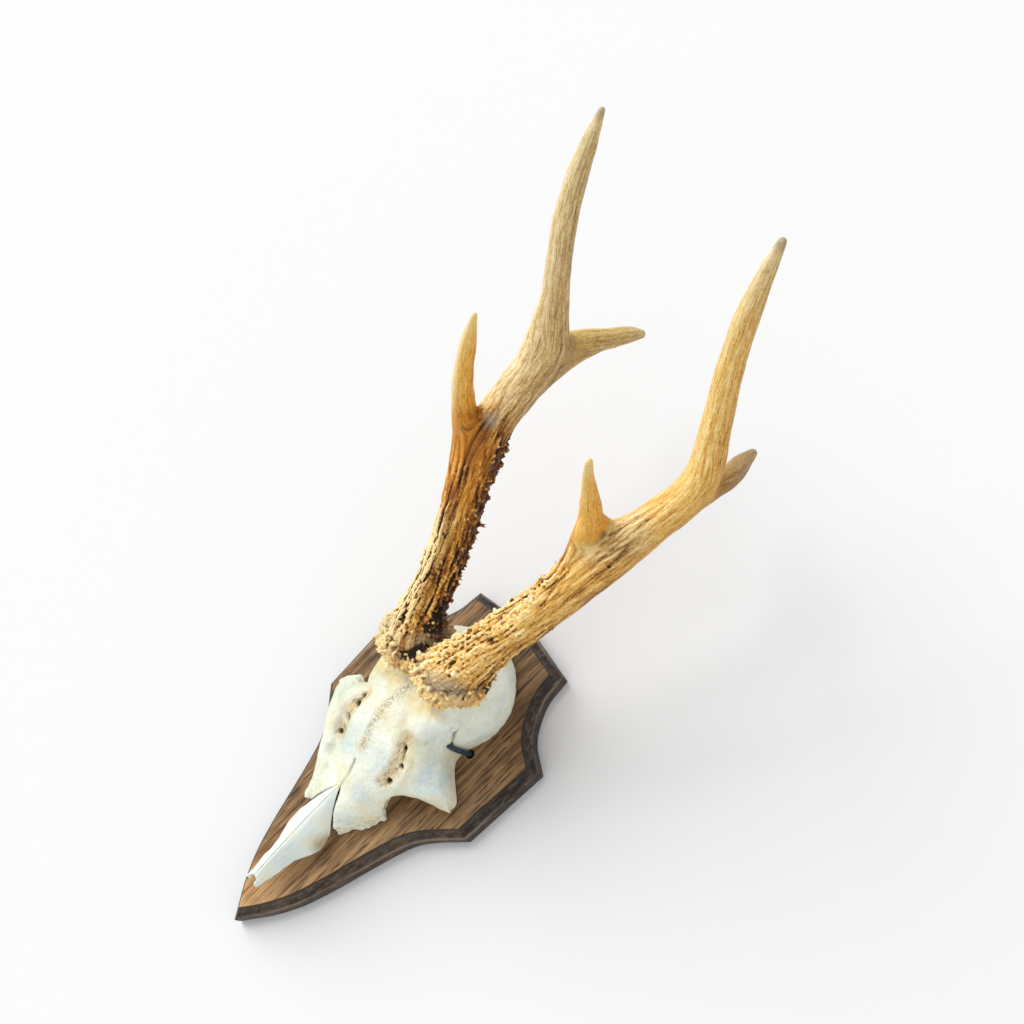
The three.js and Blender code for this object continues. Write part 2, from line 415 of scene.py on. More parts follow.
board = {
    "outset": 3.9,
    "edgeStep": 2.2,
    "lowerSide": [(0, -90.15), (6.6, -80.6), (13, -68.3), (18, -53.9), (22.3, -38.9), (27.4, -21.7),
                  (31, -12.4), (36.3, -4.7), (46.7, 6.6)],
    "upperSide": [(48.9, 45.9), (38.2, 52.6), (31.6, 61.1), (27.2, 71.5), (25.9, 81.5)],
    "top": (0, 85.5),
    # height of each step of the moulding and how far out it stands, as a share of the outset
    "moulding": [(0, 0.97), (0.5, 1.0), (5.7, 1.0), (6.5, 0.985), (6.9, 0.93), (7.1, 0.90), (7.5, 0.84),
                 (7.9, 0.72), (8.4, 0.53), (9.1, 0.37), (10.1, 0.22), (11.3, 0.12), (12.6, 0.03),
                 (13.0, 0.0), (13.2, -0.06)],
    "holeAt": (26.0, 32.0),
    "holeRadius": 2.1,
    "grooveDeep": 3.8,
    # between which heights each part of the stain fades in and out
    "bands": {"moulded": [(13.15, 12.9)], "edgeLine": [(12.2, 12.7), (13.19, 13.0)],
              "bead": [(6.3, 6.9), (8.0, 7.4)]},
}


def boardOutline():
    lower = throughPoints([(x, y, 0) for x, y in board["lowerSide"]], 6)[:, :2]
    upper = throughPoints([(x, y, 0) for x, y in board["upperSide"]], 6)[:, :2]
    right = np.vstack([lower, upper])
    left = right[::-1] * (-1, 1)
    loop = np.vstack([right, [board["top"]], left[:-1]])
    dense = []
    for a, b in zip(loop, np.roll(loop, -1, 0)):
        count = max(1, round(np.linalg.norm(b - a) / board["edgeStep"]))
        for t in np.arange(count) / count:
            dense.append(a + (b - a) * t)
    return np.array(dense)


def outwards(loop, far):
    # moves each corner out along its mitre
    before, after = unit(loop - np.roll(loop, 1, 0)), unit(np.roll(loop, -1, 0) - loop)
    first = np.column_stack([before[:, 1], -before[:, 0]])
    second = np.column_stack([after[:, 1], -after[:, 0]])
    mitre = first + second
    mitre /= (mitre * first).sum(1, keepdims=True)
    return loop + mitre * far


def makeBoard():
    loop = boardOutline()
    bpy.ops.mesh.primitive_circle_add(vertices=len(loop), fill_type="NOTHING")
    plank = bpy.context.object
    mesh = plank.data
    bpy.ops.object.mode_set(mode="EDIT")
    for _ in board["moulding"][1:]:
        bpy.ops.mesh.extrude_region_move(MESH_OT_extrude_region={"use_normal_flip": False})
    bpy.ops.object.mode_set(mode="OBJECT")
    rings = []
    for height, share in board["moulding"]:
        flat = outwards(loop, share * board["outset"])
        rings.append(np.column_stack([flat, np.full(len(flat), height)]))
    setMeshPoints(mesh, np.vstack(rings))
    bpy.ops.object.mode_set(mode="EDIT")
    bpy.ops.mesh.select_all(action="DESELECT")
    bpy.ops.mesh.select_non_manifold()
    bpy.ops.mesh.edge_face_add()
    bpy.ops.object.mode_set(mode="OBJECT")
    editMesh(plank, bpy.ops.mesh.normals_make_consistent, inside=False)
    return plank


def drillBoard(plank):
    x, y = board["holeAt"]
    cutters = []
    for side in (-1, 1):
        bpy.ops.mesh.primitive_cylinder_add(vertices=24, radius=board["holeRadius"], depth=40,
                                            location=(side * x, y, 5))
        cutters.append(bpy.context.object)
    bpy.ops.mesh.primitive_cube_add(size=1, location=(0, y, 0))
    groove = bpy.context.object
    groove.scale = (2 * x + 3, 2 * board["holeRadius"], 2 * board["grooveDeep"])
    cutters.append(groove)
    for cutter in cutters:
        applyModifier(plank, "BOOLEAN", operation="DIFFERENCE", solver="EXACT", object=cutter)
    pick(*cutters)
    bpy.ops.object.delete()


def woodFinish():
    wood = Finish("brownStain")
    place, span, noise = wood.place, wood.span, wood.noise
    drift = noise(place, 30, 2, 0.5)
    figure = noise(wood.stretch(place, scale=(1, 0.05, 0.6)), 150, 4, 0.62, 0.25)
    fibre = noise(wood.stretch(place, scale=(1, 0.03, 0.6)), 700, 4, 0.7)
    pores = noise(wood.stretch(place, scale=(1, 0.06, 0.6), shift=(0.3, 0, 0)), 1300, 2, 0.6)
    dust = noise(wood.stretch(place, scale=(1, 0.3, 1)), 500, 4, 0.7)
    cloud = noise(place, 26, 3, 0.55)
    across, lie = (wood.node("SeparateXYZ", {0: place}, output=axis) for axis in (0, 1))
    tone = 0.52 + (figure - 0.5) * 0.32 + (fibre - 0.5) * 1.05 + (cloud - 0.5) * 0.8
    # the face: pale towards the tip, dark up on the right
    tip = span(lie, -0.035, -0.088) * span(across, 0.012, -0.002, 0.35, 1.0)
    shoulder = span(across, 0.012, 0.03) * span(lie, 0.044, 0.062, 0.3, 1.15)
    shoulder = shoulder * span(cloud, 0.35, 0.6, 0.55, 1.0)
    face = wood.ramp(tone, (0.2, "2e1e10"), (0.4, "614729"), (0.52, "866540"), (0.64, "a17d52"),
                     (0.85, "c6a272"))
    face = wood.coats(
        face,
        ("231408", span(pores, 0.54, 0.64) * 0.75),
        (wood.mix("d2a670", "8a5e30", span(tone, 0.62, 0.36)), tip * 0.8),
    )
    face = wood.mix(face, wood.mix(face, "301d0c", 0.62), shoulder)
    # the moulding: darker and dusty
    dark = wood.ramp(tone, (0.25, "140d08"), (0.5, "2b2015"), (0.75, "56422e"))
    colour = wood.coats(
        face,
        (wood.mix(dark, "8b8078", span(dust, 0.45, 0.7) * 0.35), wood.kept("moulded")),
        ("1c130d", wood.kept("edgeLine") * 0.85),
        ("94816c", wood.kept("bead") * span(drift, 0.35, 0.6) * 0.6),
    )
    dents = wood.bump(fibre * 0.6 + figure * 0.4 + span(pores, 0.56, 0.68) * -0.7, 0.0004, 0.7)
    return wood.surface(colour, span(fibre, 0.3, 0.7, 0.42, 0.62), dents)


def buildBoard():
    plank = makeBoard()
    drillBoard(plank)
    height = meshPoints(plank.data)[:, 2]
    for name, fades in board["bands"].items():
        keepOnPoints(plank.data, name, math.prod(ease(low, high, height) for low, high in fades))
    finishPiece(plank, "shieldBoard", woodFinish(), "root", ["board"], sharp=35)


skull = {
    "voxel": 0.6,
    "smoothRounds": 8,
    # place, radius, depth in mm, on both sides of the skull
    "foramina": [((16.3, 16.6, 46.0), 1.7, 2.2), ((19.3, 9.8, 42.2), 2.0, 2.6),
                 ((17.2, -0.4, 35.0), 2.0, 2.2), ((17.6, 0.8, 35.9), 1.9, 2.2),
                 ((-16.1, 18.7, 46.4), 2.2, 1.8), ((-15.8, 13.5, 45.2), 3.0, 2.8),
                 ((-16.5, 5.3, 40.0), 3.0, 3.0), ((-16.7, -1.5, 34.2), 2.0, 1.6)],
    "slits": [[(15.9, 17.6, 46.6), (18.6, 11.5, 43.2)], [(-15.6, 22.5, 48), (-15.9, 14.5, 45.6)]],
    "browGroove": [(15.0, 20, 48.5), (16.6, 13, 45), (17.0, 6, 40.2), (15.4, -1.5, 34.8)],
    "browRidge": [(19.5, 22, 49), (22.2, 13, 44.8), (22.8, 5, 39.2), (21.4, -4, 31.5)],
    "orbitRim": [(20, -10, 24), (25, -2.5, 29), (28.7, 3.9, 31), (34, 8.3, 30), (37.3, 9.9, 24),
                 (39.5, 8.8, 16)],
    "plateHollow": [(28.5, 16, 35), (30.5, 13.5, 36)],
    # reach and height of the ridges and hollows that follow a line on both sides
    "relief": {"browRidge": (3.2, 1.3), "orbitRim": (2.2, 0.6), "plateHollow": (8.5, -1.4),
               "templeLine": (2.2, 1.1), "templeGroove": (1.6, -1.1)},
    # reach and depth of the seams in the middle
    "seams": {"suture": (1.8, 0.2), "crack": (0.8, 0.35)},
    "suture": [(-0.3, 36, 53), (-1.4, 30, 52.8), (-1.9, 22.8, 51.5), (-2.2, 17.2, 49.4),
               (-2.1, 11.5, 46.5), (-0.9, 7, 43.9), (-0.6, 2.1, 40.5)],
    "crack": [(-0.8, -4, 37), (0.1, -9, 34.4), (0.2, -17, 30.8)],
    "templeLine": [(25, 44, 46), (22.4, 38, 38), (20.6, 35.2, 34), (20.6, 29.6, 27)],
    "templeGroove": [(27, 45, 44), (24.5, 39.5, 38), (22.6, 35.5, 34.4), (22.2, 29.9, 27)],
    # place and reach in which the pedicles are smoothed
    "pedicles": [((17, 38, 56), 21), ((-15, 36, 55), 19)],
    "pedicleRounds": 150,
    # place, reach and how far the bone goes in at the orbital processes and beside the pedicles
    "drops": [((-40, 8.6, 15.5), 6, 0.9), ((40, 8.6, 15.5), 6, 0.9), ((19, 37, 59), 8, 1.6),
              ((-20, 35, 58), 8, 2.4)],
    # bone added before the last remesh: x, y, z, radius
    "brow": [[(18.5, 40, 51, 8.5), (15.5, 33, 46.5, 7.5), (13.5, 25, 43, 6)],
             [(-14.5, 38, 49, 7.5), (-15.5, 31, 45, 6.2), (-17, 25, 41, 4.6)],
             [(12.5, 45, 44, 11), (12.6, 50, 50, 12), (12.4, 54, 56, 12.5)],
             [(-12.5, 44, 43, 10.5), (-12.6, 48, 48, 11), (-12.2, 52, 53.5, 11.5)]],
    "processTip": [(36.0, 11.5, 25, 2.4), (38.4, 9.8, 19.5, 1.5), (39.9, 8.5, 14.6, 0.7)],
    "leftSide": [(-33.0, 11.0, 30, 2.6), (-26.6, 2.6, 32.2, 3.4), (-23.2, -3.0, 30.3, 3.4),
                 (-20.4, -9.3, 27.2, 3.4), (-17, -16, 25.2, 3.2), (-13.6, -23.7, 22.6, 2.8),
                 (-12.3, -33.0, 20.8, 1.4)],
    "leftBack": [(-36.8, 12.2, 28.5, 1.4), (-32.3, 17.6, 32.6, 1.6), (-26.5, 20.6, 37.5, 2.2)],
    "leftRoof": [(-23.5, 8, 34, 4), (-20.5, 0, 31.5, 4), (-17.5, -8, 28.5, 4)],
    "leftFront": [(-14, -14, 28, 3), (-12.6, -21, 25.4, 2.8), (-11.8, -28, 23.6, 2.0),
                  (-11.3, -34, 21.8, 1.2)],
    # place and reach of bluish and of yellow bone, and the stained lines in front of the coronets
    "cool": [((10, -13.5, 30), 9), ((-10.8, -2, 36.5), 8), ((29.6, 18, 30), 10), ((30, 12, 34), 8),
             ((-33, 8, 34), 10)],
    "warm": [((17.7, -18.9, 20.5), 8), ((22, -8, 25), 7), ((34, 9, 26), 5), ((-17, -19, 22), 6),
             ((12, -16, 26), 5), ((-2, 1, 40), 4), ((-1.4, 5, 42), 4), ((-1.9, 20, 50), 5),
             ((28, -2, 28), 6)],
    "collarStains": [[(-19, 34, 52), (-13, 33, 53), (-8, 33.5, 52)],
                     [(7, 34, 53), (12, 34.5, 56), (18, 36, 58), (23, 40, 58)]],
}

nasals = {
    "midY": -74.4,
    "backY": -17.0,
    "midHeights": [26.7, 28.3, 30.0, 31.0, 30.5],
    "edgeX": [3.6, 5.1, 6.5, 9.6, 10.5, 9.2],
    "edgeY": [-75.4, -65.4, -55.8, -48.0, -42.4, -36.9],
    "edgeHeights": [23.8, 22.2, 20.9, 19.5, 19.3, 19.9],
    "tipNotch": 2.6,
    "droop": 1.8,
    "thick": 1.6,
    "gap": 0.2,
}


def takeNode(node, name):
    # a merged copy of a CAD node's mesh, in millimetres
    copy = bpy.data.objects.new(name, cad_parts[node].data.copy())
    bpy.context.scene.collection.objects.link(copy)
    copy.data.transform(Matrix.Scale(1 / mm, 4))
    editMesh(copy, bpy.ops.mesh.remove_doubles, threshold=0.001)
    return copy


def mirrored(places):
    return [places, [(-x, y, z) for x, y, z in places]]


def shapeSkull(cap):
    mesh = cap.data
    points, normals = meshPoints(mesh), meshNormals(mesh)
    outer = ease(-0.2, 0.25, (normals * unit(points - (0, 25, 5))).sum(1))
    move = softNoise(points, 10, 3, 3) * 0.3 + softNoise(points, 2.6, 4, 2) * 0.1
    for line in mirrored(skull["browGroove"]):
        near = nearLine(points, line, 4.4)
        move -= near * (1.0 + 0.5 * softNoise(points * (1, 0.35, 0.5), 1.3, 14))
    for key, (reach, height) in skull["relief"].items():
        for line in mirrored(skull[key]):
            move += nearLine(points, line, reach) * height
    for key, (reach, depth) in skull["seams"].items():
        move -= nearLine(points, skull[key], reach) * depth
    for place, reach, depth in skull["drops"]:
        move -= nearSpot(points, place, reach) * depth
    # the broken lower edge in front of the orbits
    lip = ease(25, 17, points[:, 2]) * ease(8, -10, points[:, 1])
    down = lip * (0.9 * softNoise(points, 4.5, 9, 2) + 0.6 * softNoise(points, 1.9, 10))
    # pits: where the holes and slits sink in, later painted near black as painted shade
    pits = np.zeros(len(points))
    for place, radius, depth in skull["foramina"]:
        hole = nearSpot(points, place, radius)
        move -= hole * depth
        pits = np.maximum(pits, hole)
    for line in skull["slits"]:
        cut = nearLine(points, line, 1.4)
        move -= cut * 0.8
        pits = np.maximum(pits, cut * 0.6)
    setMeshPoints(mesh, points + normals * (move * outer + down)[:, None])
    groove = np.maximum(*[nearLine(points, line, 5.6) for line in mirrored(skull["browGroove"])])
    stain = np.maximum(*[nearLine(points, line, 6.5) for line in skull["collarStains"]])
    # painted shade: darkens the faces that turn to the left, towards the lamps
    lee = np.clip(-meshNormals(mesh)[:, 0], 0, 1)
    cool, warm = nearSpots(points, skull["cool"]), nearSpots(points, skull["warm"])
    for line in (*mirrored(skull["orbitRim"]), *mirrored(skull["browRidge"])):
        warm += 0.5 * nearLine(points, line, 3.2)
    seam, crack = nearLine(points, skull["suture"], 3.4), nearLine(points, skull["crack"], 1.0)
    temple = np.maximum(*[nearLine(points, line, 1.2) for line in mirrored(skull["templeGroove"])])
    keepAll(mesh, pits=ease(0.22, 0.7, pits), seam=seam, crack=crack, temple=temple, stain=stain, lee=lee,
            hollow=hollowness(mesh, 6), browGroove=groove, cool=np.clip(cool, 0, 1),
            warm=np.clip(warm, 0, 1))


def boneFinish():
    bone = Finish("boneIvory")
    place, span, noise, kept = bone.place, bone.span, bone.noise, bone.kept
    cloud = noise(place, 70, 4, 0.6, 0.3)
    patch = noise(bone.stretch(place, shift=(0.4, 0.1, 0.2)), 130, 4, 0.65)
    wide = noise(bone.stretch(place, shift=(0.1, 0.7, 0.2)), 45, 3, 0.55)
    grain = noise(place, 700, 4, 0.65)
    sinew = noise(bone.stretch(place, scale=(1, 0.25, 0.4)), 900, 3, 0.6)
    specks, dots = bone.cells(place, 950), bone.cells(place, 1400)
    hollow = kept("hollow")
    ivory = bone.ramp(cloud * 0.6 + grain * 0.4, (0.36, "d9d6b8"), (0.46, "e5e7d3"), (0.55, "ecf0e2"),
                      (0.68, "f1f5ec"), how="EASE")
    colour = bone.coats(
        ivory,
        ("efe0ae", span(wide, 0.5, 0.64) * 0.38),
        ("d6e4e6", span(wide, 0.5, 0.36) * span(patch, 0.4, 0.6, 0.3, 1.0) * 0.6),
        ("c6dadd", kept("cool") * span(patch, 0.36, 0.6, 0.25, 1.0) * 0.8),
        ("a9ab93", kept("cool") * span(grain, 0.52, 0.68) * 0.35),
        ("e5bf68", kept("warm") * span(cloud, 0.36, 0.6, 0.35, 1.0) * 0.65),
        (bone.mix("d9bd86", "8a6336", span(sinew, 0.5, 0.64)),
         kept("browGroove") * span(patch, 0.3, 0.5, 0.3, 1.0) * 0.85),
        ("e6c778", kept("stain") * span(patch * 0.6 + sinew * 0.4, 0.38, 0.6, 0.3, 1.0) * 0.7),
        # painted shade on the skull's left side, which faces the lamps
        ("cbcdb6", kept("lee") * 0.95, "MULTIPLY"),
        ("dcd7bc", kept("seam") * 0.5),
        ("7f7a58", kept("seam") * span(dots, 0.6, 0.35) * 0.8),
        ("6f5a32", kept("crack") * 0.8),
        ("4d3a20", kept("temple") * span(patch, 0.3, 0.55, 0.4, 1.0) * 0.85),
        # painted shade in the hollows and painted highlight on the crests
        ("a38653", span(hollow, 0.04, 0.25) * 0.65),
        ("faf7ea", span(hollow, -0.08, -0.3) * 0.5),
        ("c2b88e", span(grain, 0.54, 0.66) * span(patch, 0.4, 0.6, 0.2, 1.0) * 0.55),
        ("bda977", span(specks, 0.26, 0.08) * span(patch, 0.42, 0.6) * 0.7),
        # painted shade: the holes and slits are painted near black
        ("24150c", kept("pits") * 0.96),
    )
    relief = bone.bump(grain * 0.6 + span(specks, 0.0, 0.25) * 0.5 + cloud * 0.8, 0.0007, 0.7)
    return bone.surface(colour, span(grain, 0.3, 0.7, 0.42, 0.6), relief)


def smoothPedicles(cap):
    group = cap.vertex_groups.new(name="pedicles")
    points = meshPoints(cap.data)
    weight = np.clip(sum(nearSpot(points, place, reach) * 1.6 for place, reach in skull["pedicles"]), 0, 1)
    for index in np.nonzero(weight > 0.02)[0]:
        group.add([int(index)], float(weight[index]), "REPLACE")
    smooth(cap, 0.8, skull["pedicleRounds"], vertex_group="pedicles")
    cap.vertex_groups.clear()


def buildSkull(finish):
    cap = takeNode("skull_cap", "skullCap")
    remesh(cap, skull["voxel"])
    smooth(cap, 0.5, skull["smoothRounds"])
    extras = [tube(name, skull[name], 12) for name in ("leftSide", "leftBack", "leftRoof", "leftFront")]
    extras += [tube("brow", rows, 16) for rows in skull["brow"]]
    for side in (-1, 1):
        extras.append(tube("process", [(side * x, y, z, r) for x, y, z, r in skull["processTip"]], 10))
    cap = join([cap, *extras], "skullCap")
    web = duplicate(cap)
    remesh(web, 1.2)
    smooth(web, 0.5, 8)
    cap = join([cap, web], "skullCap")
    remesh(cap, skull["voxel"])
    smooth(cap, 0.5, 3)
    smoothPedicles(cap)
    shapeSkull(cap)
    finishPiece(cap, "skullCap", finish, "root", ["skull_cap"])


def nasalFinish():
    bone = Finish("nasalBone")
    streak = bone.noise(bone.stretch(bone.place, scale=(1, 0.2, 1)), 320, 4, 0.65)
    patch = bone.noise(bone.place, 70, 4, 0.6)
    grain = bone.noise(bone.place, 800, 4, 0.65)
    stain = bone.kept("stain") * bone.span(patch, 0.35, 0.55, 0.45, 1.0) * 0.9
    ivory = bone.ramp(streak * 0.6 + patch * 0.4, (0.34, "cbd9d6"), (0.5, "dde6df"), (0.66, "edecda"),
                      how="EASE")
    colour = bone.coats(ivory, ("e8dcae", bone.span(patch, 0.5, 0.7) * 0.55), ("a18a45", stain))
    return bone.surface(colour, 0.48, bone.bump(grain * 0.5 + streak * 0.5, 0.0003, 0.5))


def buildNasal(name, node, side, finish):
    along, across = 40, 14
    bpy.ops.mesh.primitive_grid_add(x_subdivisions=across, y_subdivisions=along, size=2)
    leaf = bpy.context.object
    grid = meshPoints(leaf.data)
    u, v = (grid[:, 1] + 1) / 2, (grid[:, 0] + 1) / 2
    edge = throughPoints(np.column_stack([nasals["edgeX"], nasals["edgeY"], nasals["edgeHeights"]]), 8)
    place = np.linspace(0, 1, len(edge))
    edgeX, edgeY, edgeZ = (np.interp(u, place, edge[:, i]) for i in range(3))
    heights = nasals["midHeights"]
    lies = nasals["midY"] + (nasals["backY"] - nasals["midY"]) * np.linspace(0, 1, len(heights))
    mid = throughPoints(np.column_stack([lies * 0, lies, heights]), 8)
    midY, midZ = (np.interp(u, np.linspace(0, 1, len(mid)), mid[:, i]) for i in (1, 2))
    x = nasals["gap"] + (edgeX - nasals["gap"]) * v
    y = midY + (edgeY - midY) * v
    y += nasals["tipNotch"] * np.clip(1 - u * 7, 0, 1) * ease(0.8, 0.4, v)
    z = midZ + (edgeZ - midZ) * v ** nasals["droop"]
    wobble = np.column_stack([x * 0 + side, y, z])
    x += 0.35 * softNoise(wobble, 4, 31, 2) * ease(0.6, 1, v)
    z += 0.22 * softNoise(wobble + 30 * v[:, None], 6, 32, 2)
    setMeshPoints(leaf.data, np.column_stack([side * x, y, z]))
    applyModifier(leaf, "SOLIDIFY", thickness=nasals["thick"], offset=-1.0 if side > 0 else 1.0)
    editMesh(leaf, bpy.ops.mesh.normals_make_consistent, inside=False)
    applyModifier(leaf, "BEVEL", width=0.35, segments=2, limit_method="ANGLE", angle_limit=math.radians(50))
    points = meshPoints(leaf.data)
    keepOnPoints(leaf.data, "stain", nearSpot(points, (side * 9.5, -41.5, 20.5), 8))
    finishPiece(leaf, name, finish, "root", [node], sharp=50)


leftAntler = {
    "seed": 11,
    # x, y, z and radius down the middle of the beam and of each tine
    "beam": [(-13.2, 49.0, 52.2, 12.2), (-13.8, 51.6, 56.4, 11.6), (-15.2, 55.4, 58.6, 10.6),
             (-17.2, 62.0, 61.0, 9.6), (-19.5, 73, 65.4, 8.9), (-23.8, 92.4, 75.4, 8.7),
             (-28.4, 107.6, 84.8, 8.9), (-34.8, 126.2, 93.4, 9.6), (-37.9, 141.6, 97.4, 9.1),
             (-39.4, 162.6, 101.4, 8.9), (-39.4, 176.8, 107.6, 7.8), (-41.4, 186.5, 121.1, 6.2),
             (-43.2, 197.4, 139.2, 5.3), (-45.4, 211.7, 159.2, 4.9), (-45.5, 228, 178, 3.6),
             (-43.4, 239.6, 192.4, 1.2)],
    "front": [(-35, 124, 96, 7), (-41.7, 129.6, 103.3, 6.0), (-45.7, 135.4, 112, 5.0),
              (-42.4, 140.6, 130.5, 4.3), (-39.3, 150.4, 151.6, 3.1), (-34.9, 157.2, 168.2, 1.1)],
    "rear": [(-39.5, 172, 103, 7), (-37.2, 186, 96.5, 5.8), (-35.9, 197, 85, 4.7),
             (-37.2, 209, 69.4, 3.6), (-40.6, 216.0, 55.4, 2.0)],
    # the coronet: middle, the way it faces, radius and thickness
    "collar": ((-12.6, 51.6, 55.2), (0.02, 0.56, 0.83), 13.6, 3.1),
    # extra stock that rounds the forks off
    "webs": [[(-31, 111, 87.5, 8), (-37, 122, 95.5, 6.8), (-41.6, 128.4, 102.6, 5.2)],
             [(-39.3, 160, 101, 7), (-41.2, 173, 110, 6.4), (-42, 186, 124, 5.2), (-43, 198, 140, 4.2)],
             [(-38.6, 150, 96.5, 6.5), (-37.6, 170, 96.5, 6.0), (-36.2, 186, 91.5, 4.6),
              (-36.2, 198, 82, 3.6)]],
    # which way the shaggy side faces, and how its pearls and grooves stand
    "shaggy": (0.8, 0.05, -0.6),
    "shaggyFrom": 0.25,
    "pearls": 310,
    "plainPearls": 0.11,
    "tallest": 4.6,
    "grooves": 1.5,
    "grooveEnd": 150,
    "beige": (0.40, 0.47),
    "tineBeige": (2.0, 0.35),
    "tones": ["1c0c05", "5a2f0c", "a8691f", "dba94a", "f6d98c", "fdf5d2"],
    "darkSide": 1.0,
    "rearShade": "f3ebbb",
    # how strongly the side facing the lamps is painted cream, as painted light
    "litSideCream": 0.85,
    # how strongly, and in which colour, deep hollows get painted shade
    "crevice": 0.9,
    "creviceShade": "2f180a",
    # place and reach of the patches of each colour
    "grey": [((-9, 49.8, 60), 13), ((-4, 54, 60), 10), ((-20, 52, 61), 9), ((-24, 46, 60), 6),
             ((-34, 138, 106), 6)],
    "tan": [],
    "amber": [((-35, 121, 100), 17), ((-41, 128, 106), 14), ((-30, 108, 92), 14)],
    "black": [((-4, 50, 61), 7), ((-1, 48, 59), 6), ((-7.5, 46.2, 60.5), 7), ((-2, 52, 62), 5),
              ((-22, 45, 60), 5), ((-17, 57, 62), 5), ((-9, 62, 62), 9), ((-15.4, 57.8, 66), 6),
              ((-11, 58, 62), 7), ((-8, 70, 64), 8)],
}

rightAntler = {
    "seed": 23,
    "beam": [(12.4, 52.6, 54.6, 13.6), (13.0, 54.6, 59.4, 13.2), (14.8, 59.0, 61.8, 12.4),
             (17.0, 65.8, 63.8, 11.3), (19.4, 74.7, 66.9, 10.2), (26, 89.5, 75.8, 9.3),
             (32.2, 104.2, 85.2, 9.5), (37.2, 119.7, 93.2, 9.8), (41.1, 134.3, 97.4, 9.6),
             (46, 153.8, 100.9, 8), (50, 174, 107, 7.5), (45.4, 192, 123.7, 5.9), (41.2, 208, 142.8, 5.2),
             (40.6, 221.2, 161.2, 4.6), (42.1, 232.9, 178.7, 3.2), (44.6, 240.2, 191.8, 1.5)],
    "front": [(36.5, 122, 95, 7), (33, 130.5, 103.5, 6.6), (31, 136, 112, 5.2), (32.8, 140.3, 130.6, 3.6),
              (35.7, 143.5, 150.4, 2.2), (39.8, 145.6, 166.4, 1.4)],
    "rear": [(49, 167, 104, 6.4), (49.6, 178, 96, 5.6), (47.6, 188, 84, 4.8), (40.9, 198.5, 67.8, 3.9),
             (35.3, 208.0, 52.8, 1.9)],
    "collar": ((12.6, 54.4, 58.0), (-0.14, 0.40, 0.90), 14.4, 3.3),
    "webs": [[(31.5, 106, 88.5, 6.2), (33.2, 119, 98.5, 5.0), (31.8, 128.5, 108, 4.0),
              (31.8, 136, 118, 3.2)], [(45.5, 150, 99, 6), (48.6, 167, 100, 6.4), (49.6, 178, 95.5, 5.7)],
             [(40, 148, 102, 3.6), (37.2, 139.5, 105.5, 3.4), (33.6, 138.2, 111, 2.8)]],
    "shaggy": (-0.82, -0.25, 0.5),
    "shaggyFrom": 0.45,
    "pearls": 270,
    "plainPearls": 0.03,
    "tallest": 2.6,
    "grooves": 1.0,
    "grooveEnd": 165,
    "beige": (0.80, 1.0),
    "tineBeige": (2.0, 0.55),
    "tones": ["341b0a", "80501c", "c88f3c", "e6b862", "f5d992", "fdf5d6"],
    "darkSide": 0.0,
    "rearShade": "b0974a",
    "litSideCream": 0.15,
    "crevice": 0.6,
    "creviceShade": "714718",
    "grey": [((16.5, 49, 65), 11), ((12, 48, 64), 10), ((21, 52, 65), 9), ((4, 48, 62), 7)],
    "tan": [((37, 132, 104), 14), ((43, 142, 107), 15)],
    "amber": [((28, 121, 100), 9), ((28, 130, 108), 8)],
    "black": [((29, 60, 59), 6), ((25, 50, 62), 5), ((46.7, 128.1, 103), 1.6)],
}

antlers = {
    # voxels of the rounded copy, of the bare antler and of the finished one
    "coarse": 1.2,
    "base": 0.64,
    "fine": 0.545,
    "webRounds": 6,
    # steps of a centre line between two of its places, and where along the beam the pearls lean to
    "steps": 8,
    "leanStep": -60,
    "tineLength": 75,
    # least gap between two pearls, or two knobs of the coronet, and what chance may add to it
    "pearlSpacing": (1.6, 1.3),
    "knobSpacing": (1.7, 1.4),
    # how far up the beam the rows of pearls, and the short ones low down, thin out
    "rowsFade": (112, 30),
    "lowFade": (34, 12),
    "ringKnobs": 120,
    "ringReach": 6.0,
    # the side on which the coronets carry most knobs, and the side facing the lamps, which painted light
    # makes palest on the beams
    "ringSide": (0.2, -0.9, 0.3),
    "paintedLightSide": (-0.75, -0.35, 0.55),
}


def collarRows(shape):
    # the round bar of the coronet, thicker here and there
    middle, facing, radius, thick = shape["collar"]
    middle, facing = np.array(middle), unit(np.array(facing))
    one = unit(np.cross(facing, (0, 0, 1)))
    two = np.cross(facing, one)
    rows = []
    for turn in np.linspace(0, 2 * math.pi, 21):
        wave = 1 + 0.06 * math.sin(3 * turn + shape["seed"])
        place = middle + radius * wave * (math.cos(turn) * one + math.sin(turn) * two)
        rows.append((*place, thick * (1 + 0.16 * math.sin(4 * turn + 2 * shape["seed"]))))
    return rows


def limbLine(rows, trunk=None):
    # centre line with its length, radius and two crosswise directions that don't twist
    line = throughPoints(rows, antlers["steps"])
    centre, radius = line[:, :3], line[:, 3]
    length = np.concatenate([[0], np.cumsum(np.linalg.norm(np.diff(centre, axis=0), axis=1))])
    ahead = unit(np.gradient(centre, axis=0))
    first = np.cross(ahead[0], (1, 0, 0))
    if trunk:  # a tine takes over the beam's directions at its root
        first = trunk["across"][np.linalg.norm(trunk["centre"] - centre[0], axis=1).argmin()]
    across = [unit(first - ahead[0] * (ahead[0] @ first))]
    for direction in ahead[1:]:
        across.append(unit(across[-1] - direction * (across[-1] @ direction)))
    across = np.array(across)
    beside = np.cross(ahead, across)
    return dict(centre=centre, radius=radius, length=length, ahead=ahead, across=across, beside=beside)


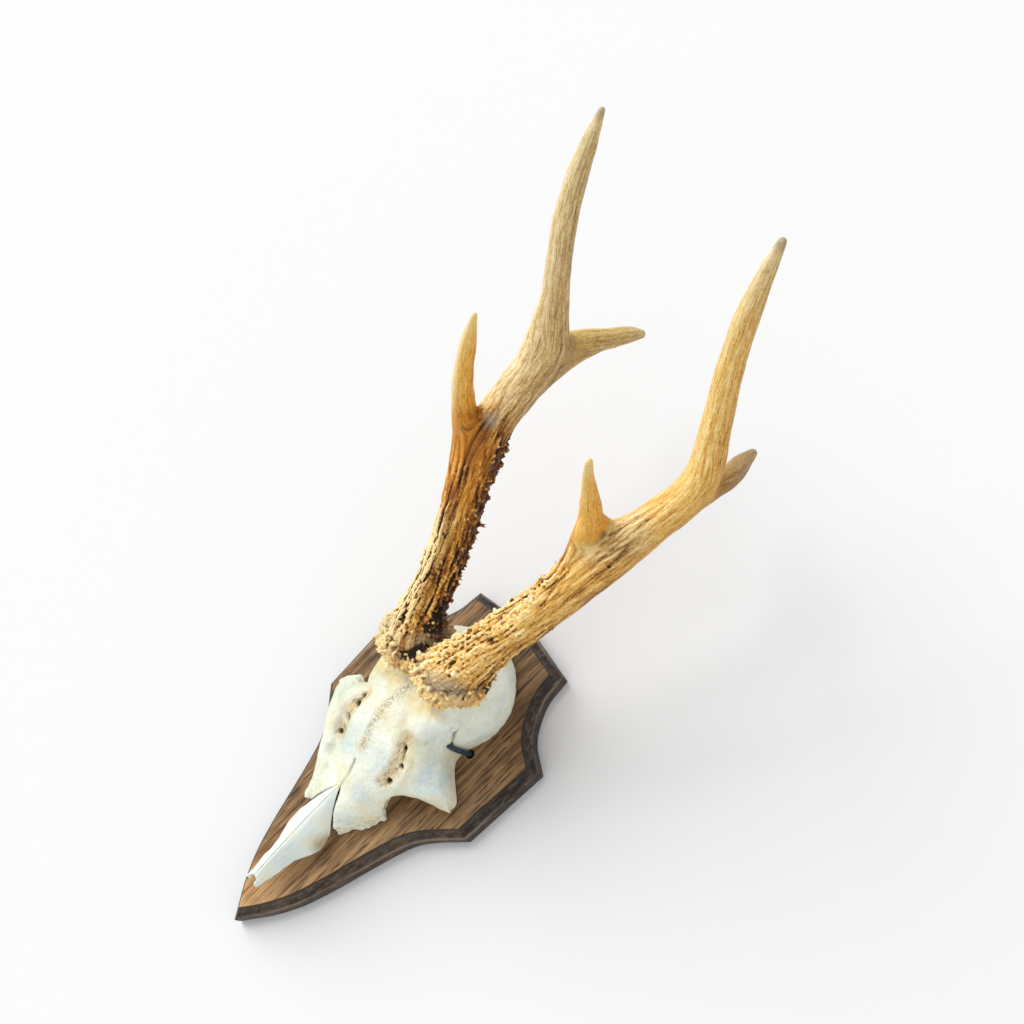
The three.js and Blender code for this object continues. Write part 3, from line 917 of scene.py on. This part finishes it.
def followLimbs(points, limbs):
    # where each point lies: on which limb and how far along, in the unrolled grain, how near a fork
    count, batch = len(points), 6000
    shares, alongs, grains, radii, outs = [], [], [], [], []
    for number, limb in enumerate(limbs):
        share, nearest = np.empty(count), np.empty(count, int)
        for start in range(0, count, batch):
            part = slice(start, start + batch)
            gap = np.linalg.norm(points[part, None, :] - limb["centre"][None], axis=2)
            gap /= np.maximum(limb["radius"], 2.5)
            nearest[part] = gap.argmin(1)
            share[part] = gap.min(1)
        away = points - limb["centre"][nearest]
        ahead = (away * limb["ahead"][nearest]).sum(1)
        x = (away * limb["across"][nearest]).sum(1)
        y = (away * limb["beside"][nearest]).sum(1)
        size = np.maximum(np.hypot(x, y), 0.3)
        along = limb["length"][nearest] + ahead
        root = np.linalg.norm(limbs[0]["centre"] - limb["centre"][0], axis=1).argmin()
        onBeam = along + (number > 0) * limbs[0]["length"][root]
        shares.append(share + (number > 0) * 0.5 * ease(22, 9, along))
        alongs.append(along)
        radii.append(limb["radius"][nearest])
        grains.append(np.column_stack([10 * x / size, 10 * y / size, onBeam]))
        outs.append(unit(away - limb["ahead"][nearest] * ahead[:, None]))
    shares = np.array(shares)
    weights = np.exp(-8 * (shares - shares.min(0)))
    weights /= weights.sum(0)
    ranked = np.sort(shares, axis=0)
    return {
        "limb": shares.argmin(0),
        "along": np.choose(shares.argmin(0), alongs),
        "every": alongs,
        "weights": weights,
        "radius": (weights * np.array(radii)).sum(0),
        "grain": (weights[:, :, None] * np.array(grains)).sum(0),
        "outward": unit((weights[:, :, None] * np.array(outs)).sum(0)),
        "fork": np.maximum(ease(1.1, 0.3, ranked[1] - ranked[0]), ease(0.01, 0.25, 1 - weights.max(0))),
    }


def grooveField(way, shape):
    # 1 in the bottom of a lengthwise groove, 0 on the ridges; and how strongly it is cut here
    seed = shape["seed"]
    drift = softNoise(way["grain"] * (1, 1, 0.4), 8, seed + 9)[:, None] * (1.4, 1.4, 0)
    broad = softNoise((way["grain"] + drift) * (1, 1, 0.1), 5.0, seed, 2)
    slim = softNoise((way["grain"] + drift) * (1, 1, 0.13) + 9, 2.6, seed + 1, 2)
    groove = np.maximum(np.exp(-((broad / 0.17) ** 2)), 0.6 * np.exp(-((slim / 0.2) ** 2)))
    wave = 0.65 + 0.5 * softNoise(way["grain"] * (1, 1, 0.5), 12, seed + 4)
    end, along = shape["grooveEnd"], way["every"]
    beam = 0.14 + 0.86 * ease(end, end * 0.45, along[0]) * ease(2, 16, along[0])
    front = 0.12 + 0.5 * ease(34, 4, along[1])
    strong = way["weights"][0] * beam + way["weights"][1] * front + way["weights"][2] * 0.14
    side = np.clip(way["outward"] @ unit(shape["shaggy"]), -1, 1)
    strong = strong * (1 - 0.3 * (1 - ease(-0.5, 0.5, side)) * (shape["darkSide"] < 0.5))
    return groove, np.clip(strong * wave, 0, 1.3)


def pearlShape():
    bpy.ops.mesh.primitive_ico_sphere_add(subdivisions=2, radius=1)
    knob = bpy.context.object
    points = meshPoints(knob.data)
    points[:, :2] *= (1.0 - 0.6 * np.clip(points[:, 2:], -0.3, 1))
    faces = np.array([face.vertices[:] for face in knob.data.polygons])
    bpy.ops.object.delete()
    return points, faces


def placePearls(name, places, directions, widths, heights, flat, upward):
    shape, faces = pearlShape()
    side = unit(np.cross(directions, upward))
    other = np.cross(directions, side)
    points = (places[:, None] + side[:, None] * shape[None, :, :1] * (widths * flat)[:, None, None]
              + other[:, None] * shape[None, :, 1:2] * (widths / flat)[:, None, None]
              + directions[:, None] * shape[None, :, 2:] * heights[:, None, None]).reshape(-1, 3)
    every = (faces[None] + (np.arange(len(places)) * len(shape))[:, None, None]).reshape(-1, 3)
    mesh = bpy.data.meshes.new(name)
    mesh.from_pydata(points.tolist(), [], every.tolist())
    crop = bpy.data.objects.new(name, mesh)
    bpy.context.scene.collection.objects.link(crop)
    return crop


def spacedPick(points, chance, spacing, wanted, dice):
    # random points by their chance, each at least its gap from the others
    least, spread = spacing
    gaps = least + spread * dice.random(len(points))
    cell = 5  # wider than any gap
    order = np.argsort(-(dice.random(len(points)) ** (1 / np.maximum(chance, 1e-6))))
    taken, cells = [], {}
    for index in order:
        if chance[index] <= 1e-4 or len(taken) >= wanted:
            break
        place, gap = points[index], gaps[index]
        x, y, z = (place // cell).astype(int)
        close = (cells.get((x + i - 1, y + j - 1, z + k - 1), ()) for i, j, k in np.ndindex(3, 3, 3))
        if all(((points[other] - place) ** 2).sum() > gap * gap for group in close for other in group):
            taken.append(index)
            cells.setdefault((x, y, z), []).append(index)
    return np.array(taken)


def bareAntler(shape):
    parts = [tube(name, shape[name], 20) for name in ("beam", "front", "rear")]
    parts += [tube("web", rows, 12) for rows in shape["webs"]]
    parts.append(tube("collar", collarRows(shape), 14, 3))
    rod = join(parts, "rod")
    webbed = duplicate(rod)
    remesh(webbed, antlers["coarse"])
    smooth(webbed, 0.5, antlers["webRounds"])
    rod = join([rod, webbed], "rod")
    remesh(rod, antlers["base"])
    smooth(rod, 0.5, 4)
    return rod


def onCollar(points, shape):
    return nearLine(points, [row[:3] for row in collarRows(shape)], antlers["ringReach"])


def baldness(points, shape):
    return np.clip(nearSpots(points, shape["grey"]), 0, 1)


def grooveAntler(rod, limbs, shape):
    points, normals = meshPoints(rod.data), meshNormals(rod.data)
    way = followLimbs(points, limbs)
    groove, strong = grooveField(way, shape)
    lumps = softNoise(points, 12, shape["seed"] + 2, 2)
    calm = (1 - 0.9 * way["fork"]) * ease(0.8, 4, way["radius"])
    strong *= 1 - 0.75 * baldness(points, shape)
    move = calm * (strong * shape["grooves"] * (0.45 - 1.35 * groove) + 0.3 * lumps)
    move += onCollar(points, shape) * (softNoise(points, 5, shape["seed"] + 3, 2) * 1.2 - 0.1)
    setMeshPoints(rod.data, points + normals * move[:, None])


def pearlAntler(rod, limbs, shape):
    dice = np.random.default_rng(shape["seed"])
    points, normals = meshPoints(rod.data), meshNormals(rod.data)
    way = followLimbs(points, limbs)
    groove, _ = grooveField(way, shape)
    beam = way["limb"] == 0
    shaggy = ease(shape["shaggyFrom"], 0.9, way["outward"] @ unit(shape["shaggy"]))
    patches = ease(-0.15, 0.45, softNoise(points, 11, shape["seed"] + 6, 2))
    low = ease(*antlers["lowFade"], way["along"])
    collar = onCollar(points, shape)
    bald = baldness(points, shape)
    rows = shape["plainPearls"] * patches + shaggy
    rows = ease(*antlers["rowsFade"], way["along"]) * rows + 0.5 * low * patches
    rows = rows * (1 - 0.8 * groove) * (1 - 0.8 * bald) * (1 - way["fork"])
    chance = np.where(beam & (collar < 0.2) & (way["along"] > 2), rows, 0)
    main = spacedPick(points, chance, antlers["pearlSpacing"], shape["pearls"], dice)
    ringSide = ease(-0.2, 0.5, normals @ unit(antlers["ringSide"]))
    ringChance = ease(0.15, 0.4, collar) * (0.35 + 0.65 * ringSide)
    ringChance = np.where(beam, ringChance * (1 - 0.85 * ease(0.25, 0.8, bald)), 0)
    ring = spacedPick(points, ringChance, antlers["knobSpacing"], antlers["ringKnobs"], dice)
    every = np.concatenate([main, ring])
    count, isRing = len(every), np.arange(len(every)) >= len(main)
    luck = dice.random(count)
    widths = np.where(isRing, 0.6 + 0.75 * luck**1.5, 0.45 + (0.65 + 0.3 * low[every]) * luck**2)
    ringTall = 1.2 + 1.9 * dice.random(count)
    rowTall = 0.8 + 0.6 * luck + shaggy[every] * dice.random(count) ** 1.7 * (shape["tallest"] - 1)
    tall = np.where(isRing, ringTall, rowTall)
    toTip = unit(limbs[0]["centre"][antlers["leanStep"]] - limbs[0]["centre"][0])
    # each pearl is a knot of three lumps
    knot = np.repeat(np.arange(count), 3)
    lean = normals[every][knot] + np.where(isRing, -0.1, 0.35)[knot, None] * toTip
    lean = unit(lean + dice.normal(0, 0.33, (len(knot), 3)))
    aside = dice.normal(0, 0.5, (len(knot), 3)) * widths[knot, None]
    aside += toTip * dice.normal(0, 0.5, len(knot))[:, None] * widths[knot, None]
    aside -= lean * (aside * lean).sum(1, keepdims=True)
    tall = tall[knot] * dice.uniform(0.4, 1.0, len(knot))
    widths = widths[knot] * dice.uniform(0.45, 0.8, len(knot))
    flat = dice.uniform(0.55, 1.05, len(knot))
    places = points[every][knot] + aside
    crop = placePearls("pearls", places + lean * (tall * 0.2)[:, None], lean, widths, tall, flat, toTip)
    return join([rod, crop], "rod"), places + lean * (tall * 1.15)[:, None], tall


def colourAntler(rod, limbs, tips, tall, shape):
    mesh = rod.data
    points = meshPoints(mesh)
    way = followLimbs(points, limbs)
    tree = KDTree(len(points))
    for index, place in enumerate(points):
        tree.insert(place, index)
    tree.balance()
    pearl = np.zeros(len(points))
    for tip, reach in zip(tips, tall * 1.1):
        for _, index, away in tree.find_range(tip, reach):
            pearl[index] = max(pearl[index], 1 - away / reach)
    hollow = hollowness(mesh, 5)
    broadHollow = hollowness(mesh, 40)
    groove, strong = grooveField(way, shape)
    total = limbs[0]["length"][-1]
    front, rear = shape["tineBeige"]  # where on the tines the gold gives way to beige
    weights, along, grain = way["weights"], way["every"], way["grain"]
    high = weights[0] * along[0] / total
    high += weights[1] * (shape["beige"][0] - (front - along[1] / antlers["tineLength"]) * 0.2)
    high += weights[2] * (shape["beige"][0] + (along[2] / antlers["tineLength"] - rear + 0.6) * 0.3)
    ends = np.array([limb["length"][-1] for limb in limbs])[way["limb"]]
    shag = way["outward"] @ unit(shape["shaggy"])
    # the shaggy side is darkened, partly its own darker colour and partly painted shade, as it is turned
    # from the lamps; the band is a darker stripe along the beam
    dark = ease(0.3, 0.8, shag + 0.3 * softNoise(points, 9, 5, 2)) * ease(0.48, 0.34, high) * weights[0]
    band = shag + 0.25 * softNoise(grain * (1, 1, 0.25), 10, shape["seed"] + 12)
    band = ease(-0.5, -0.28, band) * ease(0.14, -0.04, band) * ease(0.5, 0.38, high) * ease(8, 24, along[0])
    dark = np.maximum(dark, 0.75 * band * weights[0])
    black, tan, amber = (nearSpots(points, shape[key]) for key in ("black", "tan", "amber"))
    # painted light: how far each point faces the lamps, from -1 to 1
    pale = way["outward"] @ unit(antlers["paintedLightSide"])
    rim = np.clip(1.5 * onCollar(points, shape), 0, 1)
    middle, facing = shape["collar"][:2]
    under = rim * ease(-0.5, 2.2, (middle - points) @ unit(facing))
    keepAll(mesh, pearl=pearl, hollow=hollow, broadHollow=broadHollow, groove=groove * np.clip(strong, 0, 1),
            along=high, toTip=ends - way["along"], frontTine=weights[1], rearTine=weights[2], grain=grain,
            dark=dark * shape["darkSide"], grey=baldness(points, shape), black=np.clip(black, 0, 1),
            tan=np.clip(tan * weights[0] * 1.5, 0, 1), amber=np.clip(amber * 1.6, 0, 1), pale=pale, rim=rim,
            under=under, fork=way["fork"])


def antlerFinish(name, shape):
    horn = Finish(name)
    place, span, kept = horn.place, horn.span, horn.kept
    grain = kept("grain", "Vector")
    hollow, broad, pearl, along = (kept(key) for key in ("hollow", "broadHollow", "pearl", "along"))
    groove, dark, toTip = kept("groove"), kept("dark"), kept("toTip")
    fibre = horn.noise(horn.stretch(grain, scale=(1, 1, 0.12)), 1.5, 4, 0.7, 0.25)
    streak = horn.noise(horn.stretch(grain, scale=(1, 1, 0.07), shift=(3, 5, 7)), 0.45, 4, 0.65, 0.2)
    cloud = horn.noise(place, 60, 4, 0.6)
    specks = horn.noise(place, 900, 3, 0.65)
    # crest and ridge, pit and valley follow the bend of the surface: below they give painted highlight on
    # crests and painted shade in hollows
    crest, pit = span(hollow, -0.03, -0.17), span(hollow, 0.0, 0.13)
    ridge, valley = span(broad, -0.1, -0.6), span(broad, 0.05, 0.45)
    away = 1 - kept("fork") * 0.9
    tone = 0.53 + (fibre - 0.5) * away * 1.25 + (streak - 0.5) * away * 0.7 + (specks - 0.5) * 0.4
    tone = tone - groove * 0.42 - pit * 0.24 + crest * 0.16 + ridge * 0.1 - valley * 0.2
    # painted light: lighter on the side facing the lamps, darker on the side away from them
    tone = tone + kept("pale") * 0.13
    mottle = 0.44 + (cloud - 0.5) * 0.9 + (specks - 0.5) * 0.5 + (tone - 0.5) * 0.4 - pit * 0.25
    # from dark grooves to pale crests, which are partly worn and partly painted highlight, one range of
    # colours for each region
    low = horn.ramp(tone, *zip([0.0, 0.18, 0.38, 0.55, 0.72, 0.95], shape["tones"]))
    high = horn.ramp(tone, (0.1, "66502f"), (0.32, "a08050"), (0.5, "cdac73"), (0.66, "ebd29b"),
                     (0.9, "f8edca"))
    golden = horn.ramp(tone, (0.1, "8a4f14"), (0.35, "d28f33"), (0.55, "f2b84e"), (0.75, "fbd67c"),
                       (0.95, "fff2cc"))
    amber = horn.ramp(tone, (0.1, "4d2106"), (0.4, "a35f14"), (0.6, "d0892a"), (0.9, "f3c463"))
    shadowed = horn.ramp(tone, (0.05, "150803"), (0.4, "522704"), (0.65, "965e14"), (0.95, "c79040"))
    greyed = horn.ramp(mottle, (0.1, "42352c"), (0.4, "938068"), (0.62, "bfae90"), (0.9, "e4d6b8"))
    start, end = shape["beige"]
    # painted light: cream on the low beam where it faces the lamps
    litSideCream = span(kept("pale"), 0.25, 0.75) * span(along, 0.32, 0.22) * span(tone, 0.3, 0.5)
    black = span(kept("black") * 1.3 + pit * 0.5 - crest * 0.4, 0.55, 1.0)
    # painted shade: deep hollows low on the antler are darkened
    crevice = span(hollow, 0.12, 0.3) * span(along, 0.5, 0.3) * (1 - kept("rim") * 0.25)
    # pale pearl tips and crests: partly wear, partly painted highlight
    wearAndHighlight = span(pearl, 0.3, 0.8) * crest * span(dark, 1.0, 0.3, 0.2, 0.6) * span(cloud, 0.4, 0.6, 0.35, 1.0)
    tipWear = span(toTip, 7.0, 1.0) * span(cloud, 0.35, 0.6, 0.3, 1.0) * (1 - kept("frontTine"))
    colour = horn.coats(
        low,
        (high, span(along + (streak - 0.5) * 0.2, start, end)),
        (high, kept("tan") * 0.7),
        (golden, kept("frontTine") * span(toTip, 80, 54) * 0.92),
        ("f5dc98", span(toTip, 26.0, 6.0) * kept("frontTine") * 0.4),
        (shape["rearShade"], kept("rearTine") * 0.8, "MULTIPLY"),
        ("f2dca2", litSideCream * shape["litSideCream"]),
        (amber, kept("amber") * 0.85),
        (shadowed, dark * 0.94),
        (greyed, kept("grey") * span(cloud + fibre * 0.4, 0.45, 0.75, 0.5, 1.0) * 0.95),
        ("d6bd8b", kept("rim") * span(cloud, 0.3, 0.6, 0.4, 1.0) * 0.55),
        ("dca44a", kept("under") * 0.6),
        ("120905", black * 0.94),
        (shape["creviceShade"], crevice * shape["crevice"]),
        ("f3deaa", wearAndHighlight * span(specks, 0.35, 0.6, 0.3, 0.9)),
        ("6b5236", tipWear * 0.5),
    )
    relief = horn.bump(fibre * 0.8 + specks * 0.3, 0.0008, 0.6)
    return horn.surface(colour, span(fibre, 0.3, 0.7, 0.38, 0.54), relief, 0.22)


def buildAntler(name, shape, nodes):
    beam = limbLine(shape["beam"])
    limbs = [beam, limbLine(shape["front"], beam), limbLine(shape["rear"], beam)]
    rod = bareAntler(shape)
    grooveAntler(rod, limbs, shape)
    rod, tips, tall = pearlAntler(rod, limbs, shape)
    remesh(rod, antlers["fine"])
    rod = dropCrumbs(rod)
    smooth(rod, 0.35, 1)
    points, normals = meshPoints(rod.data), meshNormals(rod.data)
    way = followLimbs(points, limbs)
    rough = (way["limb"] == 0) * ease(110, 20, way["along"]) * (1 - 0.7 * baldness(points, shape))
    grit = 0.24 * softNoise(points, 1.3, shape["seed"] + 8, 2)
    ridges = 0.42 * softNoise(way["grain"] * (1, 1, 0.22), 2.2, shape["seed"] + 13, 2)
    setMeshPoints(rod.data, points + normals * (rough * (grit + ridges))[:, None])
    colourAntler(rod, limbs, tips, tall, shape)
    finishPiece(rod, name, antlerFinish(name + "Horn", shape), "root", nodes)


tie = {
    "radius": 1.2,
    "path": [(3, 32, 1.9), (21, 32, 1.9), (25.1, 32, 3), (26, 32, 7), (26, 32, 13.5), (25.8, 31.2, 19.5),
             (24.2, 29.8, 25.6), (20.2, 29, 29.4), (12, 29, 30.4)],
}


def buildTie():
    path = tie["path"] + [(-x, y, z) for x, y, z in reversed(tie["path"])]
    cord = tube("wireTie", [(*place, tie["radius"]) for place in path], 20, 10)
    coat = Finish("coatedWire")
    scuff = coat.noise(coat.place, 500, 3, 0.6)
    colour = coat.ramp(scuff, (0.35, "1f2a35"), (0.6, "2f4150"), (0.75, "5a6b78"), how="EASE")
    sheath = coat.surface(colour, 0.42, coat.bump(scuff, 0.0001, 0.3))
    finishPiece(cord, "wireTie", sheath, "root", ["tie_wire"])


setCamera()
setStudio()
buildBoard()
boneIvory = boneFinish()
nasalIvory = nasalFinish()
buildSkull(boneIvory)
buildNasal("leftNasal", "nasal_left", -1, nasalIvory)
buildNasal("rightNasal", "nasal_right", 1, nasalIvory)
buildTie()
buildAntler("leftAntler", leftAntler, ["beam_left", "front_tine_left", "rear_tine_left"])
buildAntler("rightAntler", rightAntler, ["beam_right", "front_tine_right", "rear_tine_right"])
